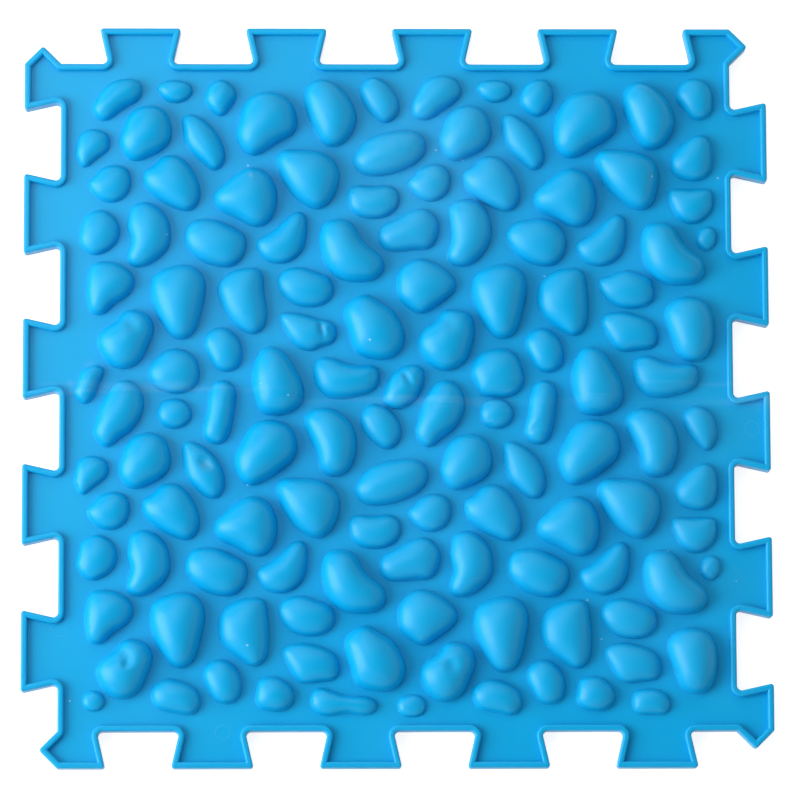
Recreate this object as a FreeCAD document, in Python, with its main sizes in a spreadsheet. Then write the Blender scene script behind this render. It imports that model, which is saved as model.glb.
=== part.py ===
"""Sensory mat tile: one soft moulded sheet covered with pebble domes, with a dovetail edge.

The tile lies on the floor with its middle at the origin and +Z up. It is one moulding, and it
is modelled here as its moulded features, face to face: the field sheet, the dovetail tabs, the
four arrow-shaped corner tabs, the lip along the bottoms of the notches, and the hollow pebbles.
All four sides are alike, each a quarter turn from the next, so a tile locks to its own kind.
"""
import FreeCAD, Part
import math
import os

import Sketcher
from FreeCAD import Placement, Rotation, Vector

# Driving sizes, in millimetres, and in degrees for the lean

SIZES = (
    ("module_width", 250.0, "distance from a tile to the next one when they are locked together"),
    ("tab_depth", 12.9, "how far the tabs stand out of the body"),
    ("tab_count", 4, "whole tabs on each side, beside the corner tab"),
    ("corner_reach", 15.15, "from a corner of the body to the middle of the nearest tab flank"),
    ("flank_lean", 13.0, "lean of the dovetail flanks"),
    ("root_radius", 1.7, "rounding where a tab leaves the body"),
    ("tip_radius", 1.0, "rounding of the outer corners of a tab"),
    ("sheet_thickness", 3.6, "thickness of the flat sheet"),
    ("edge_height", 6.0, "height of the lip's top above the floor"),
    ("lip_width", 2.2, "width of the lip along the whole outline"),
    ("lip_round", 0.8, "rounding of the lip's two upper edges"),
    ("side_margin", 6.05, "from the body's left and right edges to the pebble field"),
    ("end_margin", 1.25, "from the body's other two edges to the pebble field"),
    ("pebble_height", 9.0, "height of the tallest pebbles above the sheet"),
    ("pebble_wall", 2.0, "wall of a hollow pebble"),
    ("foot_reach", 0.5, "width of the hollow fillet round a pebble's foot"),
    ("foot_rise", 0.4, "height of that fillet"),
    ("cut_overrun", 1.0, "how far a cutting tool runs past what it cuts"),
)

# Formulas in the sheet's sizes, used by sketches and placements

LEAN = "Sizes.flank_lean"
DEPTH = "Sizes.tab_depth"
ROOT = "Sizes.root_radius"
LIP = "Sizes.lip_width"
HALF = "(Sizes.module_width - Sizes.tab_depth) / 2"
STEP = f"({HALF} - Sizes.corner_reach) / Sizes.tab_count"
FOOT = f"(({ROOT} - {DEPTH} / 2) * tan({LEAN}) + {ROOT} / cos({LEAN}))"
LIP_RISE = "Sizes.edge_height - Sizes.sheet_thickness"

# The four sides: name and number of quarter turns from the far side

SIDES = (("far", 0), ("left", 1), ("near", 2), ("right", 3))

# A pebble's dome, from its foot to its top: reach from the middle and height

dome_shares = (
    (1.00, 0.00), (0.975, 0.22), (0.93, 0.39), (0.85, 0.55),
    (0.72, 0.71), (0.54, 0.85), (0.33, 0.95), (0.12, 1.00),
)

# Corners of the four blocks of the pebble pattern, in blocks from the tile's middle

block_shares = {"UL": (-1, 0), "UR": (0, 0), "LL": (-1, -1), "LR": (0, -1)}

# Below this share of the tallest pebble's height, a pebble is too small to be hollow

hollow_share = 0.40

# The unit of the pebbles' outlines, as a share of a block's width

outline_unit_share = 0.1

# Every pebble: its height as a share of the tallest, its middle in each block that it stands in, as
# a share of the block, and the points of its outline, in tenths of a block's width from its middle

pebble_shares = {
    "pebble_small_bean": (
        (0.62, {"UL": (0.121, 0.907)}, (
            (-0.72, -0.22), (-0.74, -0.44), (-0.41, -0.72), (-0.04, -0.53), (0.37, -0.24), (0.57, -0.14),
            (0.80, 0.28), (0.72, 0.50), (0.19, 0.60), (-0.10, 0.52),
        )),
        (0.62, {"UR": (0.125, 0.912)}, (
            (-0.76, -0.36), (-0.57, -0.70), (-0.14, -0.68), (0.06, -0.54), (0.81, 0.23), (0.72, 0.46),
            (0.02, 0.66), (-0.44, 0.35), (-0.61, 0.02),
        )),
        (0.75, {"LL": (0.131, 0.946), "LR": (0.134, 0.946)}, (
            (-0.76, -0.45), (-0.65, -0.90), (-0.34, -1.08), (-0.03, -0.85), (0.41, -0.53), (0.61, -0.26),
            (0.78, 0.32), (0.39, 0.98), (-0.05, 0.96), (-0.23, 0.78), (-0.58, 0.17),
        )),
    ),
    "pebble_small_oval": (
        (0.45, {"UL": (0.305, 0.929), "UR": (0.311, 0.931)}, (
            (-0.55, 0.04), (-0.41, -0.19), (-0.23, -0.32), (0.00, -0.37), (0.47, -0.16), (0.54, 0.02),
            (0.48, 0.17), (-0.02, 0.34), (-0.50, 0.18),
        )),
        (0.50, {"LL": (0.305, 0.944), "LR": (0.311, 0.944)}, (
            (-0.53, 0.04), (-0.31, -0.39), (0.15, -0.45), (0.51, -0.14), (0.53, 0.06), (0.45, 0.24),
            (0.29, 0.40), (0.01, 0.46), (-0.24, 0.43),
        )),
    ),
    "pebble_pointed_egg": (
        (0.55, {"UL": (0.447, 0.910)}, (
            (-0.47, -0.11), (-0.25, -0.46), (0.03, -0.59), (0.32, -0.31), (0.50, 0.11), (0.28, 0.44),
            (0.05, 0.55), (-0.36, 0.33), (-0.45, 0.11),
        )),
        (0.55, {"UR": (0.445, 0.910)}, (
            (-0.50, -0.24), (-0.37, -0.42), (0.04, -0.59), (0.25, -0.48), (0.51, 0.09), (0.33, 0.51),
            (-0.13, 0.54), (-0.33, 0.40), (-0.47, 0.20),
        )),
        (0.62, {"LL": (0.448, 0.948), "LR": (0.452, 0.948)}, (
            (-0.50, -0.36), (-0.21, -0.99), (-0.02, -1.00), (0.39, -0.29), (0.49, 0.43), (0.48, 0.68),
            (0.09, 1.00), (-0.14, 0.94), (-0.27, 0.75), (-0.41, 0.11),
        )),
    ),
    "pebble_big_boot": (
        (1.00, {"UL": (0.589, 0.833)}, (
            (-0.87, -0.14), (-0.84, -0.69), (-0.49, -1.04), (0.44, -0.61), (0.87, -0.35), (0.91, 0.44),
            (0.44, 0.90), (-0.27, 0.91), (-0.74, 0.40),
        )),
        (1.00, {"UR": (0.591, 0.830)}, (
            (-0.95, -0.54), (-0.47, -1.09), (-0.25, -1.08), (-0.04, -0.97), (0.47, -0.66), (0.72, -0.52),
            (1.03, -0.10), (1.03, 0.20), (0.80, 0.74), (0.34, 1.00), (-0.52, 0.78), (-0.85, 0.23),
        )),
        (1.00, {"LL": (0.588, 0.829), "LR": (0.597, 0.830)}, (
            (-0.96, -0.33), (-0.83, -0.79), (-0.69, -0.96), (-0.30, -1.05), (-0.09, -0.95), (0.13, -0.84),
            (0.37, -0.68), (0.97, -0.04), (0.76, 0.78), (0.13, 0.99), (-0.19, 0.94), (-0.58, 0.60),
            (-0.72, 0.32),
        )),
    ),
    "pebble_tall_kidney": (
        (0.95, {"UL": (0.792, 0.864), "UR": (0.796, 0.856)}, (
            (-0.82, 0.45), (-0.77, 0.16), (-0.42, -0.69), (-0.06, -1.08), (0.40, -0.99), (0.62, -0.75),
            (0.83, -0.17), (0.76, 0.16), (0.05, 0.96), (-0.27, 1.05), (-0.56, 0.96),
        )),
        (0.95, {"LL": (0.796, 0.863), "LR": (0.801, 0.861)}, (
            (-0.86, 0.60), (-0.82, 0.39), (-0.71, 0.10), (-0.47, -0.47), (-0.32, -0.94), (0.03, -1.14),
            (0.49, -0.97), (0.63, -0.76), (0.60, 0.53), (-0.32, 1.02), (-0.78, 0.82),
        )),
    ),
    "pebble_tilted_oval": (
        (0.62, {"UL": (0.949, 0.903)}, (
            (-0.62, 0.19), (-0.48, -0.17), (-0.18, -0.54), (0.17, -0.73), (0.51, -0.53), (0.61, -0.16),
            (0.41, 0.30), (0.03, 0.65), (-0.29, 0.70), (-0.54, 0.51),
        )),
        (0.58, {"UR": (0.947, 0.907)}, (
            (-0.56, -0.10), (-0.26, -0.50), (-0.08, -0.64), (0.14, -0.67), (0.50, -0.39), (0.54, -0.10),
            (0.52, 0.19), (0.19, 0.59), (-0.50, 0.41),
        )),
        (0.62, {"LL": (0.950, 0.906)}, (
            (-0.64, 0.15), (-0.46, -0.27), (-0.15, -0.57), (0.22, -0.72), (0.53, -0.50), (0.62, -0.06),
            (0.41, 0.36), (0.00, 0.65), (-0.38, 0.66), (-0.58, 0.43),
        )),
        (0.55, {"LR": (0.951, 0.904)}, (
            (-0.56, 0.24), (-0.39, -0.21), (-0.12, -0.55), (0.18, -0.75), (0.42, -0.50), (0.49, 0.00),
            (0.33, 0.41), (-0.11, 0.65), (-0.42, 0.55),
        )),
    ),
    "pebble_long_egg": (
        (0.80, {"UL": (0.980, 0.739), "LL": (0.982, 0.737)}, (
            (-1.14, -0.30), (-1.01, -0.55), (0.05, -0.66), (0.57, -0.46), (1.02, -0.11), (1.14, 0.26),
            (0.98, 0.59), (0.64, 0.71), (0.05, 0.68), (-0.80, 0.33), (-1.04, 0.02),
        )),
        (0.65, {"UR": (0.936, 0.721), "LR": (0.939, 0.719)}, (
            (-0.72, -0.12), (-0.56, -0.52), (-0.35, -0.63), (0.26, -0.65), (0.46, -0.50), (0.62, 0.10),
            (0.49, 0.64), (0.31, 0.76), (-0.12, 0.64), (-0.59, 0.21),
        )),
    ),
    "pebble_edge_drop": (
        (0.50, {"UL": (0.043, 0.758), "LL": (0.043, 0.763)}, (
            (-0.48, -0.08), (-0.39, -0.53), (-0.27, -0.65), (0.05, -0.48), (0.26, -0.31), (0.45, -0.17),
            (0.56, 0.23), (0.46, 0.41), (0.26, 0.51), (-0.17, 0.51), (-0.44, 0.16),
        )),
    ),
    "pebble_big_egg": (
        (0.90, {"UL": (0.212, 0.800), "UR": (0.217, 0.801), "LL": (0.212, 0.802), "LR": (0.215, 0.798)}, (
            (-0.78, -0.09), (-0.71, -0.62), (-0.37, -0.88), (0.13, -0.75), (0.67, -0.40), (0.79, -0.16),
            (0.75, 0.42), (0.63, 0.65), (0.09, 0.87), (-0.44, 0.65), (-0.60, 0.42),
        )),
    ),
    "pebble_spindle": (
        (0.60, {"UL": (0.394, 0.773), "UR": (0.399, 0.774)}, (
            (-0.66, 0.70), (-0.65, 0.41), (-0.61, 0.12), (0.10, -0.77), (0.35, -0.90), (0.50, -0.84),
            (0.68, -0.43), (0.62, -0.14), (-0.08, 0.75), (-0.54, 0.84),
        )),
        (0.60, {"LL": (0.395, 0.773), "LR": (0.397, 0.773)}, (
            (-0.65, 0.72), (-0.64, 0.39), (-0.39, -0.40), (-0.19, -0.61), (0.27, -0.89), (0.48, -0.84),
            (0.63, -0.62), (0.29, 0.50), (-0.24, 0.85), (-0.46, 0.90), (-0.59, 0.85),
        )),
    ),
    "pebble_left_drop": (
        (0.55, {"UL": (0.105, 0.644), "UR": (0.109, 0.648), "LL": (0.105, 0.650), "LR": (0.106, 0.644)}, (
            (-0.70, -0.05), (-0.48, -0.40), (0.04, -0.59), (0.50, -0.32), (0.60, -0.07), (0.52, 0.42),
            (0.11, 0.59), (-0.36, 0.42), (-0.55, 0.20),
        )),
    ),
    "pebble_bean_triangle": (
        (0.80, {"UL": (0.300, 0.646), "UR": (0.305, 0.645), "LL": (0.300, 0.648), "LR": (0.303, 0.644)}, (
            (-0.72, -0.32), (-0.45, -0.52), (0.15, -0.83), (0.40, -0.88), (0.62, -0.81), (0.84, -0.30),
            (0.65, 0.32), (0.19, 0.82), (-0.10, 0.89), (-0.51, 0.68), (-0.65, 0.52), (-0.84, 0.43),
            (-0.92, 0.32),
        )),
    ),
    "pebble_wide_triangle": (
        (1.00, {"UL": (0.536, 0.603), "UR": (0.540, 0.602), "LL": (0.537, 0.603), "LR": (0.542, 0.603)}, (
            (-1.08, 0.02), (-0.92, -0.39), (-0.70, -0.52), (-0.38, -0.66), (0.15, -0.92), (0.40, -0.91),
            (0.77, -0.57), (0.86, -0.28), (0.89, 0.01), (0.54, 0.79), (0.11, 0.94), (-0.46, 0.68),
            (-0.96, 0.23),
        )),
    ),
    "pebble_broad_drop": (
        (1.00, {"UL": (0.726, 0.667), "LL": (0.726, 0.667), "LR": (0.727, 0.665)}, (
            (-0.99, 0.28), (-0.61, -0.48), (-0.36, -0.75), (-0.11, -0.92), (0.19, -1.03), (0.43, -0.99),
            (0.64, -0.81), (0.91, -0.26), (0.89, 0.32), (0.46, 0.73), (-0.46, 0.85), (-0.79, 0.83),
            (-0.95, 0.70),
        )),
        (1.00, {"UR": (0.733, 0.666)}, (
            (-1.06, 0.52), (-1.02, 0.30), (-0.61, -0.46), (-0.33, -0.72), (0.35, -1.05), (0.56, -1.00),
            (0.85, -0.50), (0.93, 0.08), (0.86, 0.38), (0.19, 0.79), (-0.13, 0.85), (-0.49, 0.86),
            (-0.81, 0.85), (-0.99, 0.72),
        )),
    ),
    "pebble_half_moon": (
        (0.50, {"UL": (0.928, 0.592), "LL": (0.930, 0.590)}, (
            (-0.81, 0.13), (-0.39, -0.50), (-0.03, -0.56), (0.67, -0.30), (0.81, 0.04), (0.69, 0.38),
            (0.40, 0.49), (-0.11, 0.46), (-0.58, 0.47), (-0.78, 0.34),
        )),
        (0.50, {"UR": (0.929, 0.583), "LR": (0.929, 0.583)}, (
            (-0.73, 0.36), (-0.71, 0.15), (-0.61, -0.11), (-0.47, -0.36), (-0.04, -0.62), (0.66, -0.11),
            (0.69, 0.18), (0.63, 0.40), (0.44, 0.48), (0.01, 0.47), (-0.46, 0.48),
        )),
    ),
    "pebble_round_dome": (
        (0.58, {"UL": (0.068, 0.495), "LL": (0.064, 0.510)}, (
            (-0.59, 0.01), (-0.38, -0.62), (-0.15, -0.71), (0.10, -0.66), (0.51, -0.35), (0.64, 0.08),
            (0.45, 0.50), (0.04, 0.70), (-0.19, 0.66), (-0.51, 0.37),
        )),
    ),
    "pebble_side_boot": (
        (0.65, {"UR": (0.044, 0.497), "LR": (0.044, 0.497)}, (
            (-0.97, -0.33), (-0.85, -0.50), (0.24, -0.56), (0.56, -0.53), (0.71, -0.41), (0.82, -0.20),
            (0.87, 0.34), (0.76, 0.51), (0.57, 0.68), (0.07, 0.69), (-0.15, 0.57), (-0.65, 0.31),
            (-0.84, 0.20),
        )),
    ),
    "pebble_upright_kidney": (
        (0.75, {"UL": (0.219, 0.489), "LL": (0.221, 0.493), "LR": (0.225, 0.490)}, (
            (-0.57, 0.02), (-0.57, -0.46), (-0.59, -0.88), (-0.45, -1.00), (-0.23, -1.03), (0.26, -0.82),
            (0.67, -0.34), (0.70, 0.24), (0.60, 0.55), (0.17, 0.95), (-0.10, 1.02), (-0.53, 0.80),
            (-0.58, 0.57),
        )),
        (0.75, {"UR": (0.226, 0.496)}, (
            (-0.62, 0.65), (-0.59, 0.36), (-0.56, 0.03), (-0.55, -0.26), (-0.65, -0.73), (-0.61, -0.92),
            (-0.08, -1.07), (0.14, -0.97), (0.69, -0.22), (0.58, 0.67), (0.41, 0.89), (-0.16, 1.04),
            (-0.44, 0.94),
        )),
    ),
    "pebble_lying_egg": (
        (0.75, {"UL": (0.432, 0.464), "LL": (0.436, 0.468), "LR": (0.438, 0.464)}, (
            (-0.94, -0.01), (-0.83, -0.22), (-0.10, -0.71), (0.69, -0.64), (0.90, 0.23), (0.51, 0.50),
            (-0.03, 0.72), (-0.33, 0.74), (-0.60, 0.71), (-0.81, 0.57),
        )),
        (0.75, {"UR": (0.443, 0.468)}, (
            (-0.99, 0.16), (-0.39, -0.60), (0.23, -0.78), (0.48, -0.75), (0.90, -0.15), (0.81, 0.34),
            (0.46, 0.65), (-0.47, 0.65), (-0.72, 0.57), (-0.88, 0.39),
        )),
    ),
    "pebble_crescent": (
        (0.60, {"UL": (0.649, 0.471), "UR": (0.653, 0.464), "LL": (0.650, 0.473), "LR": (0.653, 0.468)}, (
            (-0.88, -0.12), (-0.51, -0.66), (0.02, -0.71), (0.48, -0.41), (0.70, 0.43), (0.61, 0.82),
            (0.45, 0.90), (0.09, 0.72), (-0.27, 0.37), (-0.75, 0.06),
        )),
    ),
    "pebble_big_kidney": (
        (1.00, {"UL": (0.849, 0.433), "UR": (0.858, 0.423), "LL": (0.853, 0.430), "LR": (0.854, 0.427)}, (
            (-0.91, 0.47), (-0.89, 0.18), (-0.68, -0.43), (-0.24, -0.83), (0.37, -0.92), (0.94, -0.76),
            (1.11, -0.34), (1.03, -0.14), (0.58, 0.24), (0.26, 0.72), (0.10, 0.94), (-0.41, 1.07),
            (-0.66, 1.00),
        )),
    ),
    "pebble_three_corner": (
        (0.75, {"UL": (0.094, 0.331), "LL": (0.094, 0.338)}, (
            (-0.57, -0.71), (-0.42, -0.88), (-0.05, -0.84), (0.11, -0.67), (0.27, -0.53), (0.49, -0.41),
            (0.84, 0.23), (0.56, 0.58), (-0.20, 0.77), (-0.41, 0.71), (-0.62, 0.26),
        )),
        (0.80, {"UR": (0.086, 0.334), "LR": (0.086, 0.332)}, (
            (-0.85, -0.13), (-0.76, -0.45), (-0.55, -0.67), (-0.05, -0.89), (0.16, -0.81), (0.66, -0.45),
            (0.88, -0.27), (0.99, 0.13), (0.84, 0.34), (0.31, 0.72), (-0.19, 0.84), (-0.69, 0.56),
            (-0.81, 0.38),
        )),
    ),
    "pebble_tall_drop": (
        (1.00, {"UL": (0.315, 0.292), "UR": (0.322, 0.294), "LL": (0.315, 0.302), "LR": (0.321, 0.288)}, (
            (-0.95, 0.02), (-0.49, -0.73), (-0.19, -1.18), (0.01, -1.27), (0.40, -1.16), (0.56, -0.93),
            (0.77, -0.23), (0.75, 0.78), (0.32, 1.06), (0.04, 1.07), (-0.74, 0.74), (-0.90, 0.53),
        )),
    ),
    "pebble_notched_drop": (
        (0.80, {"UL": (0.523, 0.291)}, (
            (-0.84, 0.21), (-0.54, -0.51), (-0.11, -0.95), (0.32, -1.09), (0.51, -0.99), (0.70, -0.54),
            (0.60, 0.36), (0.51, 0.88), (0.37, 0.98), (0.14, 1.00), (-0.61, 0.72),
        )),
        (0.80, {"UR": (0.528, 0.289), "LL": (0.529, 0.292), "LR": (0.531, 0.285)}, (
            (-0.85, 0.24), (-0.59, -0.60), (-0.27, -0.84), (0.37, -1.11), (0.54, -0.98), (0.71, -0.44),
            (0.65, 0.68), (0.58, 0.89), (0.42, 0.98), (-0.80, 0.46),
        )),
    ),
    "pebble_flat_oval": (
        (0.60, {"UL": (0.714, 0.328), "LL": (0.717, 0.334), "LR": (0.720, 0.325)}, (
            (-0.84, -0.03), (-0.32, -0.54), (0.25, -0.62), (0.54, -0.55), (0.87, -0.18), (0.77, 0.26),
            (0.29, 0.49), (0.07, 0.58), (-0.42, 0.61), (-0.81, 0.35),
        )),
        (0.60, {"UR": (0.726, 0.321)}, (
            (-0.91, 0.26), (-0.88, 0.01), (-0.58, -0.38), (0.31, -0.58), (0.78, -0.35), (0.80, 0.16),
            (0.68, 0.37), (0.46, 0.46), (0.25, 0.55), (-0.18, 0.59), (-0.46, 0.48), (-0.75, 0.37),
        )),
    ),
    "pebble_fish": (
        (0.55, {"UL": (0.723, 0.195)}, (
            (-0.90, 0.45), (-0.85, 0.27), (-0.55, -0.27), (-0.37, -0.48), (-0.16, -0.59), (0.02, -0.63),
            (0.55, -0.45), (0.73, -0.40), (0.85, -0.23), (0.89, -0.01), (0.67, 0.30), (0.44, 0.35),
            (0.19, 0.42), (-0.62, 0.58), (-0.83, 0.54),
        )),
        (0.55, {"UR": (0.732, 0.193), "LL": (0.732, 0.193), "LR": (0.732, 0.193)}, (
            (-0.89, 0.34), (-0.82, 0.09), (-0.68, -0.16), (-0.33, -0.60), (0.17, -0.59), (0.46, -0.56),
            (0.71, -0.50), (0.87, -0.09), (0.61, 0.36), (0.33, 0.49), (-0.63, 0.58), (-0.83, 0.47),
        )),
    ),
    "pebble_field_egg": (
        (1.00, {"UL": (0.928, 0.202), "LL": (0.927, 0.202)}, (
            (-0.93, 0.42), (-0.89, 0.21), (-0.72, -0.37), (-0.62, -0.64), (0.10, -0.98), (0.39, -0.97),
            (0.78, -0.76), (0.93, -0.01), (0.79, 0.28), (0.61, 0.55), (0.18, 0.85), (-0.21, 1.06),
            (-0.43, 1.04),
        )),
        (0.90, {"UR": (0.922, 0.205), "LR": (0.920, 0.204)}, (
            (-0.81, 0.39), (-0.76, 0.07), (-0.52, -0.58), (-0.38, -0.87), (0.19, -1.07), (0.44, -0.94),
            (0.71, -0.36), (0.39, 0.86), (-0.11, 0.98), (-0.39, 0.93),
        )),
    ),
    "pebble_two_lobed": (
        (0.90, {"UL": (0.155, 0.169), "LL": (0.155, 0.176), "LR": (0.157, 0.167)}, (
            (-0.90, -0.11), (-0.86, -0.29), (-0.17, -0.93), (0.28, -0.80), (0.58, -0.42), (0.66, -0.21),
            (0.83, 0.22), (0.78, 0.61), (0.16, 0.93), (-0.05, 0.88), (-0.33, 0.56), (-0.54, 0.43),
        )),
        (0.90, {"UR": (0.160, 0.167)}, (
            (-0.90, -0.30), (-0.62, -0.71), (-0.41, -0.87), (0.13, -0.94), (0.37, -0.80), (0.55, -0.66),
            (0.68, -0.37), (0.77, -0.12), (0.83, 0.42), (0.76, 0.71), (0.60, 0.87), (0.10, 0.96),
            (-0.15, 0.91), (-0.40, 0.57), (-0.61, 0.46), (-0.79, 0.28), (-0.90, 0.12),
        )),
    ),
    "pebble_little_egg": (
        (0.60, {"UL": (0.458, 0.139), "UR": (0.464, 0.137), "LL": (0.457, 0.139), "LR": (0.460, 0.137)}, (
            (-0.33, -0.47), (0.32, -0.65), (0.48, -0.53), (0.57, -0.29), (0.59, -0.08), (0.22, 0.58),
            (0.00, 0.67), (-0.42, 0.57), (-0.55, 0.41),
        )),
    ),
    "pebble_round_loaf": (
        (0.70, {"UL": (0.306, 0.071)}, (
            (-0.81, -0.05), (-0.60, -0.48), (-0.35, -0.61), (0.22, -0.67), (0.66, -0.41), (0.64, 0.40),
            (0.46, 0.58), (-0.28, 0.66), (-0.67, 0.31),
        )),
        (0.70, {"UR": (0.317, 0.065)}, (
            (-0.80, -0.13), (-0.70, -0.38), (-0.56, -0.63), (-0.10, -0.74), (0.40, -0.70), (0.78, -0.34),
            (0.73, 0.27), (0.59, 0.55), (0.13, 0.79), (-0.12, 0.77), (-0.41, 0.70), (-0.75, 0.34),
        )),
        (0.60, {"LL": (0.312, 0.092), "LR": (0.309, 0.090)}, (
            (-0.77, 0.06), (-0.57, -0.33), (-0.04, -0.48), (0.55, -0.51), (0.77, -0.15), (0.57, 0.28),
            (0.10, 0.51), (-0.35, 0.55), (-0.68, 0.35),
        )),
    ),
    "pebble_small_oblong": (
        (0.50, {"UL": (0.037, 0.035)}, (
            (-0.40, -0.11), (-0.33, -0.52), (-0.10, -0.63), (0.17, -0.40), (0.34, 0.04), (0.46, 0.45),
            (0.30, 0.56), (-0.00, 0.53), (-0.27, 0.28),
        )),
        (0.60, {"UR": (0.023, 0.025)}, (
            (-0.62, -0.21), (-0.51, -0.61), (-0.23, -0.70), (0.11, -0.59), (0.43, -0.27), (0.62, 0.21),
            (0.58, 0.55), (0.32, 0.69), (-0.02, 0.62), (-0.36, 0.38),
        )),
        (0.30, {"LL": (0.057, 0.080)}, (
            (-0.34, 0.04), (-0.24, -0.22), (0.03, -0.31), (0.28, -0.19), (0.34, 0.07), (0.16, 0.27),
            (-0.14, 0.30),
        )),
        (0.30, {"LR": (0.044, 0.065)}, (
            (-0.43, -0.02), (-0.30, -0.27), (0.00, -0.34), (0.36, -0.21), (0.43, 0.05), (0.28, 0.28),
            (-0.03, 0.34), (-0.33, 0.24),
        )),
    ),
    "pebble_standing_egg": (
        (1.00, {"UL": (0.622, 0.036), "UR": (0.622, 0.036)}, (
            (-0.60, -0.70), (-0.46, -0.89), (0.00, -1.02), (0.73, -0.70), (0.85, -0.46), (0.54, 0.58),
            (0.34, 0.88), (-0.14, 1.14), (-0.39, 1.09), (-0.56, 0.90), (-0.74, 0.36),
        )),
        (0.60, {"LL": (0.616, 0.100), "LR": (0.612, 0.100)}, (
            (-0.57, -0.01), (-0.46, -0.38), (-0.06, -0.52), (0.41, -0.44), (0.63, -0.02), (0.36, 0.38),
            (-0.06, 0.55), (-0.44, 0.45),
        )),
    ),
    "pebble_lying_bean": (
        (0.70, {"UL": (0.836, 0.050), "UR": (0.836, 0.054)}, (
            (-0.98, 0.26), (-0.95, 0.01), (-0.68, -0.47), (-0.26, -0.64), (0.59, -0.50), (0.82, -0.42),
            (1.09, -0.01), (0.99, 0.37), (0.81, 0.41), (0.10, 0.46), (-0.15, 0.57), (-0.40, 0.65),
            (-0.61, 0.68), (-0.82, 0.60),
        )),
        (0.45, {"LL": (0.823, 0.072)}, (
            (-0.94, 0.15), (-0.78, -0.25), (-0.38, -0.38), (0.16, -0.30), (0.70, -0.36), (1.03, -0.25),
            (1.13, -0.03), (0.91, 0.17), (0.44, 0.23), (-0.10, 0.32), (-0.46, 0.46), (-0.80, 0.44),
        )),
        (0.42, {"LR": (0.786, 0.075)}, (
            (-0.58, 0.03), (-0.41, -0.34), (0.06, -0.38), (0.48, -0.32), (0.60, 0.03), (0.40, 0.30),
            (-0.14, 0.41), (-0.47, 0.33),
        )),
    ),
    "pebble_tiny_dome": (
        (0.35, {"UR": (0.976, 0.478), "LR": (0.976, 0.478)}, (
            (-0.32, 0.01), (-0.22, -0.28), (-0.02, -0.38), (0.21, -0.26), (0.31, 0.04), (0.23, 0.28),
            (0.03, 0.37), (-0.23, 0.25),
        )),
    ),
}

doc = FreeCAD.newDocument("sensory_mat_tile")
sheet = doc.addObject("Spreadsheet::Sheet", "Sizes")
for row, (alias, value, note) in enumerate(SIZES, start=1):
    sheet.set(f"A{row}", note)
    sheet.set(f"B{row}", str(value))
    sheet.setAlias(f"B{row}", alias)
doc.recompute()


def size(formula):
    """The value of a formula in the sheet's sizes, as a plain number."""
    value = sheet.evalExpression(formula)
    return float(getattr(value, "Value", value))


def plane(body, role):
    """One of a body's own origin planes."""
    return next(item for item in body.Origin.OriginFeatures if item.Role == role)


def outline(body, name, level, corners):
    """A closed sketch on a level of the body, with every corner and radius tied to the sheet.

    Each corner is (x, y) in formulas, or (x, y, arc) where the side that starts there is an arc,
    and arc is (centre x, centre y, radius, turns anticlockwise).
    """
    sketch = body.newObject("Sketcher::SketchObject", name)
    sketch.AttachmentSupport = (plane(body, "XY_Plane"), [""])
    sketch.MapMode = "FlatFace"
    sketch.setExpression("AttachmentOffset.Base.z", level)
    points = [Vector(size(corner[0]), size(corner[1]), 0) for corner in corners]
    ends = []
    for index, corner in enumerate(corners):
        start, end = points[index], points[(index + 1) % len(points)]
        if len(corner) == 2:
            side = sketch.addGeometry(Part.LineSegment(start, end))
            ends.append((side, 1, 2))
            continue
        centre_x, centre_y, radius, anticlockwise = corner[2]
        centre = Vector(size(centre_x), size(centre_y), 0)
        first, last = (start, end) if anticlockwise else (end, start)
        circle = Part.Circle(centre, Vector(0, 0, 1), size(radius))
        angles = [math.atan2(point.y - centre.y, point.x - centre.x) for point in (first, last)]
        side = sketch.addGeometry(Part.ArcOfCircle(circle, angles[0], angles[1]))
        ends.append((side, 1, 2) if anticlockwise else (side, 2, 1))
        tie(sketch, Sketcher.Constraint("Radius", side, size(radius)), radius)
    for index, corner in enumerate(corners):
        side, start, _ = ends[index]
        before, _, end = ends[index - 1]
        sketch.addConstraint(Sketcher.Constraint("Coincident", before, end, side, start))
        tie(sketch, Sketcher.Constraint("DistanceX", side, start, points[index].x), corner[0])
        tie(sketch, Sketcher.Constraint("DistanceY", side, start, points[index].y), corner[1])
    return sketch


def tie(sketch, constraint, formula):
    """Add a dimension to a sketch and bind it to a formula."""
    index = sketch.addConstraint(constraint)
    sketch.setExpression(f"Constraints[{index}]", formula)


def pad(body, name, sketch, length):
    """Raise a sketch by a length given as a formula."""
    feature = body.newObject("PartDesign::Pad", name)
    feature.Profile = sketch
    feature.setExpression("Length", length)
    doc.recompute()
    return feature


def fillet(body, name, base, chosen, radius):
    """Round the edges of a feature that a test chooses."""
    names = [f"Edge{number}" for number, edge in enumerate(base.Shape.Edges, start=1) if chosen(edge)]
    feature = body.newObject("PartDesign::Fillet", name)
    feature.Base = (base, names)
    feature.setExpression("Radius", radius)
    doc.recompute()
    return feature


def same(a, b):
    """Whether two lengths are the same but for rounding."""
    return math.isclose(a, b, rel_tol=1e-6, abs_tol=1e-6)


def is_upright_at(edge, points):
    """Whether an edge stands upright on one of the given points of the plan."""
    low, high = edge.Vertexes[0].Point, edge.Vertexes[-1].Point
    if not (same(low.x, high.x) and same(low.y, high.y)) or same(low.z, high.z):
        return False
    return any(same(low.x, x) and same(low.y, y) for x, y in points)


def is_upper_rim(edge, level, end_middles):
    """Whether an edge lies at a level and isn't one of the cut ends, known by their middles."""
    if not all(same(vertex.Z, level) for vertex in edge.Vertexes):
        return False
    middle = edge.CenterOfMass
    return not any(same(middle.x, x) and same(middle.y, y) for x, y in end_middles)


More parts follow.
